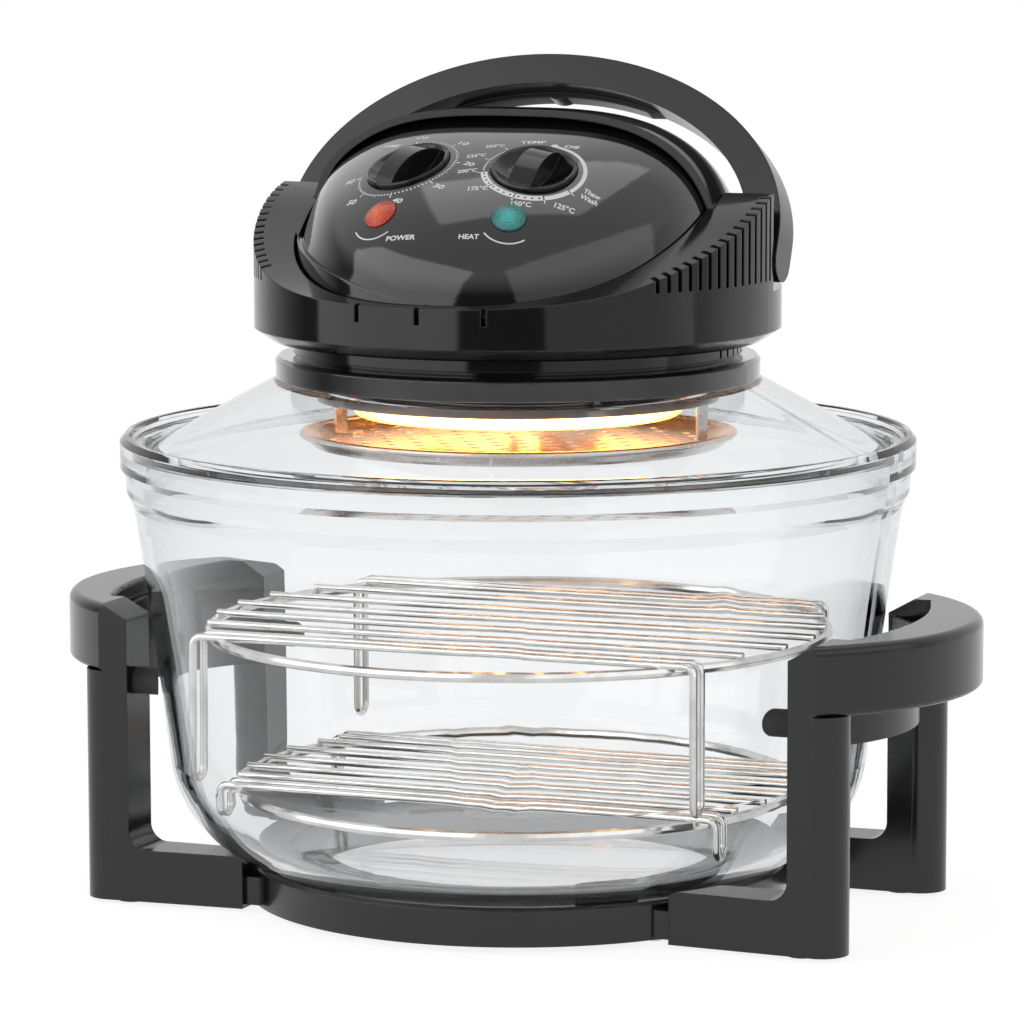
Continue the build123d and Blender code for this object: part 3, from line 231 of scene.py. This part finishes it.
def soft_rubber(name, colour, rough=0.72):
    """Moulded rubber or silicone: matte, finely pitted, with a faint dusty bloom."""
    material, tree = new_tree(name)
    pits = cells(tree, 1500)
    bloom = noise(tree, 90, 4, 0.6)
    tint = blend_colours(tree, spread(tree, bloom, 0.0, 1.0, 0.45, 0.75), colour,
                         scaled(colour, 1.5, 0.012))
    return principled(material, tree, {
        "Base Color": tint, "Roughness": spread(tree, bloom, rough * 0.9, rough * 1.15),
        "Sheen Weight": 0.15, "Normal": bump(tree, pits, 0.03 * MM, 0.5)})


def fired_ceramic(name):
    """Chalky insulating ceramic with grains and small dark specks."""
    material, tree = new_tree(name)
    grains = noise(tree, 1800, 3)
    specks = spread(tree, cells(tree, 900), 1.0, 0.0, 0.08, 0.16)
    chalk = blend_colours(tree, grains, (0.74, 0.71, 0.64, 1), (0.84, 0.81, 0.75, 1))
    tint = blend_colours(tree, specks, chalk, (0.3, 0.26, 0.21, 1))
    return principled(material, tree, {"Base Color": tint, "Roughness": spread(tree, grains, 0.7, 0.9),
                                       "Normal": bump(tree, grains, 0.04 * MM, 0.7)})


def cut_lens(name, deep, lit_centre_colour, centre, normal):
    """A moulded lamp lens: coloured plastic with concentric prisms round its centre, faintly lit, and its
    colour painted brighter towards the centre as the glow of the lamp behind it.
    """
    material, tree = new_tree(name)
    offset = add(tree, "VectorMath", {0: own_place(tree), 1: centre}, operation="SUBTRACT").outputs[0]
    across = add(tree, "VectorMath", {0: offset, 1: normal}, operation="CROSS_PRODUCT").outputs[0]
    radius = add(tree, "VectorMath", {0: across}, operation="LENGTH").outputs["Value"]
    waves = calculate(tree, "SINE", calculate(tree, "MULTIPLY", radius, 2 * pi / PRISM_PITCH))
    prisms = spread(tree, waves, 0.0, 1.0, -1.0, 1.0)
    facets = cells(tree, 700)
    relief = calculate(tree, "ADD", prisms, facets)
    # Painted glow: the colour brightens from the edge to the centre, where the lamp behind shines through.
    tint = blend_colours(tree, spread(tree, radius, 1.0, 0.0, 0.0, LENS_RADIUS), deep, lit_centre_colour)
    return principled(material, tree, {
        "Base Color": tint, "Roughness": spread(tree, facets, 0.08, 0.2), "IOR": 1.55,
        "Subsurface Weight": 0.4, "Subsurface Scale": 2 * MM, "Coat Weight": 0.25, "Coat Roughness": 0.05,
        "Normal": bump(tree, relief, 0.35 * MM, 0.8),
        "Emission Color": tint, "Emission Strength": 0.06})


def hot_quartz(name):
    """The lit tube: brightest along its middle, amber towards its edges, with small hot spots of the coil."""
    material, tree = new_tree(name)
    facing = add(tree, "LayerWeight", {"Blend": 0.35}).outputs["Facing"]
    coil = noise(tree, 320, 2, 0.5)
    tint = blend_colours(tree, facing, (1.0, 0.5, 0.13, 1), (1.0, 0.34, 0.04, 1))
    power = calculate(tree, "MULTIPLY", spread(tree, facing, 20.0, 5.0), spread(tree, coil, 0.8, 1.2))
    glow = add(tree, "Emission", {"Color": tint, "Strength": power})
    skin = add(tree, "BsdfGlossy", {"Color": grey(0.9), "Roughness": 0.05})
    surface = add(tree, "MixShader", {0: 0.04, 1: glow.outputs[0], 2: skin.outputs[0]})
    add(tree, "OutputMaterial", {"Surface": surface.outputs[0]})
    return material


def wound_copper(name):
    """Varnished magnet wire, seen as close fine strands."""
    material, tree = new_tree(name)
    strands = add(tree, "TexWave", {"Vector": own_place(tree), "Scale": 380, "Distortion": 1.5, "Detail": 1},
                  bands_direction="Z").outputs["Fac"]
    tint = blend_colours(tree, strands, (0.22, 0.06, 0.02, 1), (0.72, 0.29, 0.12, 1))
    return principled(material, tree, {
        "Base Color": tint, "Metallic": 0.85, "Roughness": spread(tree, strands, 0.45, 0.25),
        "Coat Weight": 0.5, "Coat Roughness": 0.2, "Normal": bump(tree, strands, 0.15 * MM, 0.8)})


def print_ink(name, colour):
    """Pad-printed ink: slightly uneven cover over the panel's gloss."""
    material, tree = new_tree(name)
    patches = noise(tree, 2600, 2)
    tint = blend_colours(tree, patches, colour, scaled(colour, 0.86))
    return principled(material, tree, {"Base Color": tint, "Roughness": spread(tree, patches, 0.35, 0.55),
                                       "Normal": bump(tree, patches, 0.01 * MM, 0.5)})


# ---------------------------------------------------------------- the panel that the print lies on

PANEL = BVHTree.FromObject(NODES["control_panel"], bpy.context.evaluated_depsgraph_get())


def panel_plane(x, y, radius):
    """(origin, right, uphill, normal) of the plane through the panel round the point over x, y."""
    hits = []
    for step in range(PROBES):
        turn = 2 * pi * step / PROBES
        start = Vector((x + radius * cos(turn), y + radius * sin(turn), ABOVE_PANEL))
        place, _, _, _ = PANEL.ray_cast(start, Vector((0, 0, -1)))
        hits.append(place)
    middle = sum(hits, Vector()) / PROBES
    spokes = [hit - middle for hit in hits]
    normal = sum((spokes[step].cross(spokes[(step + 1) % PROBES]) for step in range(PROBES)),
                 Vector()).normalized()
    uphill = (Vector((0, 0, 1)) - normal.z * normal).normalized()
    return middle, uphill.cross(normal), uphill, normal


TIMER_PLANE = panel_plane(-DIAL_X, DIAL_Y, DIAL_RADIUS)
THERMOSTAT_PLANE = panel_plane(DIAL_X, DIAL_Y, DIAL_RADIUS)
POWER_PLANE = panel_plane(-LAMP_X, LAMP_Y, LAMP_RADIUS)
HEAT_PLANE = panel_plane(LAMP_X, LAMP_Y, LAMP_RADIUS)


# ---------------------------------------------------------------- the model's finishes

BLACK = (0.0065, 0.0066, 0.007, 1)
GLASS_SMOKE = (0.5, 0.57, 0.6, 1)
GLASS_WAVES = 0.03 * MM

# Material slot of the model: the material that it gets
FINISHES = {
    "stand_plastic": moulded_plastic("satin_black_stand", (0.0085, 0.0086, 0.0092, 1), 0.165, 2600,
                                     0.008 * MM),
    "finger_guard_plastic": moulded_plastic("satin_black_guard", (0.0095, 0.0096, 0.0103, 1), 0.24, 2600,
                                            0.01 * MM),
    "rubber": soft_rubber("black_rubber", (0.02, 0.02, 0.021, 1)),
    "silicone_gasket": soft_rubber("grey_silicone", (0.4, 0.41, 0.42, 1), 0.5),
    # Each glass's second colour is its painted shade where it is seen at a slant.
    "bowl_glass": clear_glass("bowl_glass", (0.98, 0.982, 0.985, 1), (0.42, 0.44, 0.46, 1), 20,
                              GLASS_SMOKE, GLASS_WAVES),
    "lid_glass": clear_glass("lid_glass", (0.945, 0.948, 0.952, 1), (0.72, 0.75, 0.78, 1), 16,
                             GLASS_SMOKE, GLASS_WAVES),
    "rack_wire": metal("chromed_wire", (0.72, 0.71, 0.69, 1), 0.13, line_scale=500),
    "head_plastic": moulded_plastic("gloss_black_panel", BLACK, 0.085, 3000, 0.004 * MM, coat=0.6),
    "housing_plastic": moulded_plastic("gloss_black_housing", (0.009, 0.009, 0.0096, 1), 0.09, 3000,
                                       0.005 * MM),
    "handle_plastic": moulded_plastic("satin_black_handle", (0.0085, 0.0085, 0.009, 1), 0.19, 2600,
                                      0.008 * MM),
    "knob_plastic": moulded_plastic("gloss_black_knob", BLACK, 0.12, 3000, 0.006 * MM, edge=0.5 * MM),
    # Each lens's second colour is its painted glow at the centre.
    "orange_lens": cut_lens("orange_lens", (0.45, 0.02, 0.003, 1), (0.88, 0.13, 0.018, 1),
                            POWER_PLANE[0], POWER_PLANE[3]),
    "green_lens": cut_lens("green_lens", (0.002, 0.14, 0.13, 1), (0.02, 0.5, 0.46, 1),
                           HEAT_PLANE[0], HEAT_PLANE[3]),
    "neon_glass": metal("neon_lamp", (0.75, 0.6, 0.5, 1), 0.2),
    "lamp_quartz": hot_quartz("lit_quartz"),
    "ceramic": fired_ceramic("fired_ceramic"),
    "aluminised_steel": metal("aluminised_steel", (0.66, 0.66, 0.65, 1), 0.32, line_scale=260,
                              depth=0.02 * MM),
    # The guard's steel gets the lamp's amber light painted onto its upward faces.
    "bright_steel": metal("bright_steel", (0.62, 0.61, 0.62, 1), 0.24, lines=(1, 1, 8), line_scale=300,
                          patina=(0.6, 0.5, 0.4, 1), lamp_light_tint=(0.8, 0.46, 0.17, 1)),
    "plain_steel": metal("plain_steel", (0.5, 0.5, 0.49, 1), 0.3),
    "fan_aluminium": metal("fan_aluminium", (0.68, 0.69, 0.7, 1), 0.28, line_scale=700),
    "stator_steel": metal("laminated_steel", (0.36, 0.36, 0.37, 1), 0.4, lines=(0.05, 0.05, 6),
                          line_scale=400, depth=0.15 * MM),
    "coil_wire": wound_copper("wound_copper"),
    "unit_plastic": moulded_plastic("unit_plastic", (0.42, 0.4, 0.36, 1), 0.45, 2200, 0.03 * MM),
    "thermostat_metal": metal("thermostat_case", (0.6, 0.58, 0.52, 1), 0.3),
    "plunger_plastic": moulded_plastic("plunger_plastic", (0.55, 0.53, 0.5, 1), 0.4, 2200, 0.02 * MM),
}
for node in NODES.values():
    for slot in node.material_slots:
        slot.material = FINISHES.get(slot.material.name.split(".")[0], slot.material)


# ---------------------------------------------------------------- print on the panel

INK_DEPTH = 0.05 * MM
INK_LIFT = 0.07 * MM
OVERPRINT_LIFT = 0.11 * MM
REACH = 30 * MM         # height above the plane from which the panel is sought

CAPITAL = 0.73          # height of a capital in a font of size 1
LETTER_WEIGHT = 0.026   # by which the letters' outlines are thickened
DOT_SIDES = 10
ARC_STEP = 4            # degrees

WHITE_INK = print_ink("white_ink", (0.82, 0.82, 0.81, 1))
BLACK_INK = print_ink("black_ink", (0.012, 0.012, 0.013, 1))


class Artwork:
    """Flat print on a plane of the panel: drawn in millimetres, then laid on the panel's surface."""

    def __init__(self, name, plane, ink, lift=INK_LIFT):
        self.name, self.plane, self.ink, self.lift = name, plane, ink, lift
        self.shape = bmesh.new()

    def patch(self, outline):
        """A filled outline, counter-clockwise, as a thin slab."""
        low = [self.shape.verts.new((x, y, 0)) for x, y in outline]
        high = [self.shape.verts.new((x, y, 1)) for x, y in outline]
        count = len(outline)
        self.shape.faces.new(high)
        self.shape.faces.new(low[::-1])
        for step in range(count):
            after = (step + 1) % count
            self.shape.faces.new((low[step], low[after], high[after], high[step]))

    def dot(self, angle, radius, size):
        """A dot at an angle and radius round the middle; size is its own radius."""
        x, y = around(angle, radius)
        turns = [2 * pi * step / DOT_SIDES for step in range(DOT_SIDES)]
        self.patch([(x + size * cos(turn), y + size * sin(turn)) for turn in turns])

    def arc(self, start, end, radius, width):
        """A band along a circle from start to end, in degrees clockwise from uphill."""
        steps = max(2, round(abs(end - start) / ARC_STEP))
        for step in range(steps):
            first = start + (end - start) * step / steps
            last = start + (end - start) * (step + 1) / steps
            self.patch([around(first, radius - width / 2), around(last, radius - width / 2),
                        around(last, radius + width / 2), around(first, radius + width / 2)][::-1])

    def tick(self, angle, inner, outer, width):
        """A bar that points away from the middle, from the inner to the outer radius."""
        half = width / 2
        along, across = Vector(around(angle, 1)), Vector(around(angle + 90, 1))
        corners = [inner * along - half * across, outer * along - half * across,
                   outer * along + half * across, inner * along + half * across]
        self.patch([tuple(corner) for corner in corners[::-1]])

    def words(self, text, x, y, height, width, turn=0):
        """Words centred on x, y: the height of their capitals, their overall width and a turn in degrees."""
        curve = bpy.data.curves.new("lettering", "FONT")
        curve.body = text
        curve.extrude = 0.5
        curve.offset = LETTER_WEIGHT
        curve.resolution_u = 3
        holder = bpy.data.objects.new("lettering", curve)
        mesh = bpy.data.meshes.new_from_object(holder)
        xs = [vertex.co.x for vertex in mesh.vertices]
        tall = height / CAPITAL
        wide = width / (max(xs) - min(xs))
        middle = ((min(xs) + max(xs)) / 2, CAPITAL / 2)
        right, up = cos(radians(turn)), sin(radians(turn))
        start = len(self.shape.verts)
        self.shape.from_mesh(mesh)
        self.shape.verts.ensure_lookup_table()
        for vertex in self.shape.verts[start:]:
            u, v = (vertex.co.x - middle[0]) * wide, (vertex.co.y - middle[1]) * tall
            vertex.co = Vector((x + u * right - v * up, y + u * up + v * right, vertex.co.z + 0.5))
        bpy.data.objects.remove(holder)
        bpy.data.curves.remove(curve)
        bpy.data.meshes.remove(mesh)

    def lay(self):
        """Puts the drawing on the panel, as a piece that rides on the head."""
        middle, right, uphill, normal = self.plane
        for vertex in self.shape.verts:
            flat = middle + vertex.co.x * MM * right + vertex.co.y * MM * uphill
            place, _, _, _ = PANEL.ray_cast(flat + REACH * normal, -normal)
            vertex.co = (place or flat) + (self.lift - INK_DEPTH + vertex.co.z * INK_DEPTH) * normal
        bmesh.ops.recalc_face_normals(self.shape, faces=self.shape.faces)
        mesh = bpy.data.meshes.new(self.name)
        self.shape.to_mesh(mesh)
        self.shape.free()
        mesh.materials.append(self.ink)
        piece = bpy.data.objects.new(self.name, mesh)
        bpy.context.scene.collection.objects.link(piece)
        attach(piece, "head")


def around(angle, radius):
    """The point at an angle in degrees clockwise from uphill."""
    return radius * sin(radians(angle)), radius * cos(radians(angle))


# Lengths in millimetres, angles in degrees clockwise from uphill
CAP_HEIGHT = 2.8
LAMP_CAP_HEIGHT = 2.4
LAMP_ARC_RADIUS, LAMP_ARC_WIDTH = 12.0, 0.6

TIMER_ANGLES = {0: 331, 10: 382, 20: 430, 30: 474, 40: 520, 50: 564, 60: 607}   # minutes: angle
TEN_MINUTE_TICK = (20.8, 24.0, 0.55)    # inner radius, outer radius, width
MINUTE_TICK = (20.9, 22.6, 0.45)
MINUTE_DOT = (21.6, 0.48)               # radius round the dial, size
TIMER_WORDS = (                         # words, x, y, width
    ("10", 11.4, 24.6, 5.0), ("20", 27.0, 8.8, 5.0), ("30", 26.2, -10.8, 5.0), ("40", 13.4, -23.6, 5.0),
    ("50", -12.6, -24.4, 5.0), ("60", -25.6, -9.6, 5.0), ("Off", -12.4, 25.6, 6.4),
    ("TIME", -23.4, 17.2, 10.2))

OFF_DOT = (21.8, 22.0, 1.6)             # angle, radius round the dial, size
WARM_ARCS = ((22, 134.2, 21.2, 1.7), (135.8, 167, 20.9, 2.3))   # start, end, radius, width
HOT_ARCS = ((169, 201), (203, 237), (239, 270))                 # start, end
HOT_RADIUS, HOT_WIDTH = 20.7, 2.8
HOT_DOTS, HOT_DOT_SIZE = 4, 0.48
DEGREE_ANGLES = (135, 168, 202, 238, 270, 300, 329)
DEGREE_TICK = (22.0, 23.8, 0.5)         # inner radius, outer radius, width
TOP_DOTS, TOP_DOT_START, TOP_DOT_STEP = 14, 275, 4.1
TOP_DOT = (21.0, 0.5)                   # radius round the dial, size
THERMOSTAT_WORDS = (                    # words, x, y, width, turn
    ("125°C", 13.0, -24.4, 8.4, -14), ("150°C", -4.8, -24.2, 8.2, -5), ("175°C", -22.8, -12.4, 8.2, -5),
    ("200°C", -27.8, 2.8, 8.2, -3), ("225°C", -24.4, 16.0, 8.2, -2), ("250°C", -16.8, 24.2, 8.2, -3),
    ("Thaw", 24.2, -13.8, 7.4, -22), ("Wash", 22.9, -17.3, 7.6, -22), ("Off", 15.4, 19.8, 6.4, -8),
    ("TEMP", -0.8, 25.2, 10.8, -6))


def print_timer():
    """The timer's scale of 60 minutes, with numbers every ten."""
    scale = Artwork("timer_scale", TIMER_PLANE, WHITE_INK)
    for minutes in range(61):
        lower = min(50, minutes // 10 * 10)
        first, last = TIMER_ANGLES[lower], TIMER_ANGLES[lower + 10]
        angle = first + (last - first) * (minutes - lower) / 10
        if minutes % 10 == 0:
            scale.tick(angle, *TEN_MINUTE_TICK)
        elif minutes % 5 == 0 or minutes < 10:
            scale.tick(angle, *MINUTE_TICK)
        else:
            scale.dot(angle, *MINUTE_DOT)
    for words, x, y, width in TIMER_WORDS:
        scale.words(words, x, y, CAP_HEIGHT, width)
    scale.lay()


def print_thermostat():
    """The thermostat's scale: a band that widens with the heat, with black dots on its hot part, and a row
    of dots up to the highest mark."""
    scale = Artwork("thermostat_scale", THERMOSTAT_PLANE, WHITE_INK)
    dots = Artwork("thermostat_scale_dots", THERMOSTAT_PLANE, BLACK_INK, OVERPRINT_LIFT)
    scale.dot(*OFF_DOT)
    for start, end, radius, width in WARM_ARCS:
        scale.arc(start, end, radius, width)
    for start, end in HOT_ARCS:
        scale.arc(start, end, HOT_RADIUS, HOT_WIDTH)
        for step in range(HOT_DOTS):
            dots.dot(start + (end - start) * (step + 0.5) / HOT_DOTS, HOT_RADIUS, HOT_DOT_SIZE)
    for angle in DEGREE_ANGLES:
        scale.tick(angle, *DEGREE_TICK)
    for step in range(TOP_DOTS):
        scale.dot(TOP_DOT_START + TOP_DOT_STEP * step, *TOP_DOT)
    for words, x, y, width, turn in THERMOSTAT_WORDS:
        scale.words(words, x, y, CAP_HEIGHT, width, turn)
    scale.lay()
    dots.lay()


def print_lamp(name, plane, start, end, text, x, y, width, turn):
    """A lamp's name, and an arc under its lens."""
    label = Artwork(name, plane, WHITE_INK)
    label.arc(start, end, LAMP_ARC_RADIUS, LAMP_ARC_WIDTH)
    label.words(text, x, y, LAMP_CAP_HEIGHT, width, turn)
    label.lay()


print_timer()
print_thermostat()
print_lamp("power_lamp_print", POWER_PLANE, 128, 223, "POWER", 17.0, -9.2, 13.6, 14)
print_lamp("heat_lamp_print", HEAT_PLANE, 147, 237, "HEAT", -16.2, -7.8, 8.4, -6)


# ---------------------------------------------------------------- studio

def studio_floor():
    """A wide pale disc that carries the object's soft shadow."""
    mesh = bpy.data.meshes.new("studio_floor")
    shape = bmesh.new()
    bmesh.ops.create_circle(shape, cap_ends=True, segments=96, radius=FLOOR_RADIUS)
    shape.to_mesh(mesh)
    shape.free()
    floor = bpy.data.objects.new("studio_floor", mesh)
    floor.location.z = -FLOOR_DROP
    bpy.context.scene.collection.objects.link(floor)
    material, tree = new_tree("studio_paper")
    mottle = noise(tree, 3, 3)
    tint = blend_colours(tree, mottle, (0.8, 0.8, 0.8, 1), (0.79, 0.79, 0.79, 1))
    paper = add(tree, "BsdfDiffuse", {"Color": tint})
    shade = add(tree, "BsdfDiffuse", {"Color": grey(FLOOR_SHADE)})
    light = add(tree, "Emission", {"Color": grey(1), "Strength": FLOOR_LIGHT})
    seen = add(tree, "AddShader", {0: shade.outputs[0], 1: light.outputs[0]})
    surface = add(tree, "MixShader", {0: seen_directly(tree), 1: paper.outputs[0], 2: seen.outputs[0]})
    add(tree, "OutputMaterial", {"Surface": surface.outputs[0]})
    mesh.materials.append(material)


def seen_directly(tree):
    """1 for camera, mirror and refracted rays, and 0 for the rays that light the object."""
    path = add(tree, "LightPath")
    first = calculate(tree, "MAXIMUM", path.outputs["Is Camera Ray"], path.outputs["Is Glossy Ray"])
    return calculate(tree, "MAXIMUM", first, path.outputs["Is Transmission Ray"])


def studio_world():
    """White where it is seen directly or through glass, grey for the light it gives, and in reflections dark
    in front of the object and bright behind and above it."""
    world = bpy.data.worlds.new("studio")
    bpy.context.scene.world = world
    world.use_nodes = True
    tree = world.node_tree
    tree.nodes.clear()
    path = add(tree, "LightPath")
    direct = calculate(tree, "MAXIMUM", path.outputs["Is Camera Ray"], path.outputs["Is Transmission Ray"])
    way = add(tree, "SeparateXYZ", {0: add(tree, "TexCoord").outputs["Generated"]})
    behind = spread(tree, way.outputs["Y"], 0.06, 0.9, -0.1, 0.6)
    above = spread(tree, way.outputs["Z"], 0.0, 0.75, 0.12, 0.5)
    mirrored = calculate(tree, "MULTIPLY", calculate(tree, "MAXIMUM", behind, above),
                         path.outputs["Is Glossy Ray"])
    seen = calculate(tree, "MAXIMUM", direct, mirrored)
    fill = calculate(tree, "MULTIPLY", WORLD_FILL, path.outputs["Is Diffuse Ray"])
    strength = calculate(tree, "MAXIMUM", seen, fill)
    light = add(tree, "Background", {"Color": grey(1), "Strength": strength})
    add(tree, "OutputWorld", {"Surface": light.outputs[0]})


def softbox(name, bearing, height, distance, width, tall, radiance):
    """A rectangular lamp of a given radiance that faces the object. bearing is in degrees from the camera's
    side of the object, to the right; distance is level, from the axis."""
    turn = CAMERA_AZIMUTH + radians(bearing)
    place = Vector((distance * sin(turn), -distance * cos(turn), height))
    lamp = bpy.data.lights.new(name, "AREA")
    lamp.shape = "RECTANGLE"
    lamp.size = width
    lamp.size_y = tall
    lamp.energy = radiance * pi * width * tall
    holder = bpy.data.objects.new(name, lamp)
    holder.location = place
    holder.rotation_euler = (SOFTBOX_AIM - place).to_track_quat("-Z", "Y").to_euler()
    bpy.context.scene.collection.objects.link(holder)


def studio_camera():
    """The camera at the photograph's viewpoint."""
    across = Vector((cos(CAMERA_AZIMUTH), sin(CAMERA_AZIMUTH), 0))
    level = Vector((sin(CAMERA_AZIMUTH), -cos(CAMERA_AZIMUTH), 0))
    back = cos(CAMERA_ELEVATION) * level + Vector((0, 0, sin(CAMERA_ELEVATION)))
    aim = AIM_ACROSS * across + Vector((0, 0, AIM_HEIGHT))
    camera = bpy.data.objects.new("camera", bpy.data.cameras.new("camera"))
    camera.data.lens = CAMERA_LENS
    camera.data.sensor_width = 36
    camera.data.clip_end = 60
    turn = (Matrix.Rotation(CAMERA_AZIMUTH, 4, "Z") @ Matrix.Rotation(pi / 2 - CAMERA_ELEVATION, 4, "X")
            @ Matrix.Rotation(CAMERA_ROLL, 4, "Z"))
    camera.matrix_world = Matrix.Translation(aim + CAMERA_DISTANCE * back) @ turn
    bpy.context.scene.collection.objects.link(camera)
    bpy.context.scene.camera = camera


studio_floor()
studio_world()
softbox("left_softbox", -60, 0.95, 2.2, 3.5, 2.3, 1.3)
softbox("right_softbox", 46, 0.95, 2.2, 3.5, 2.3, 0.62)
softbox("top_softbox", 170, 2.3, 0.5, 1.8, 1.3, 0.95)
studio_camera()
bpy.context.scene.view_settings.view_transform = "Standard"
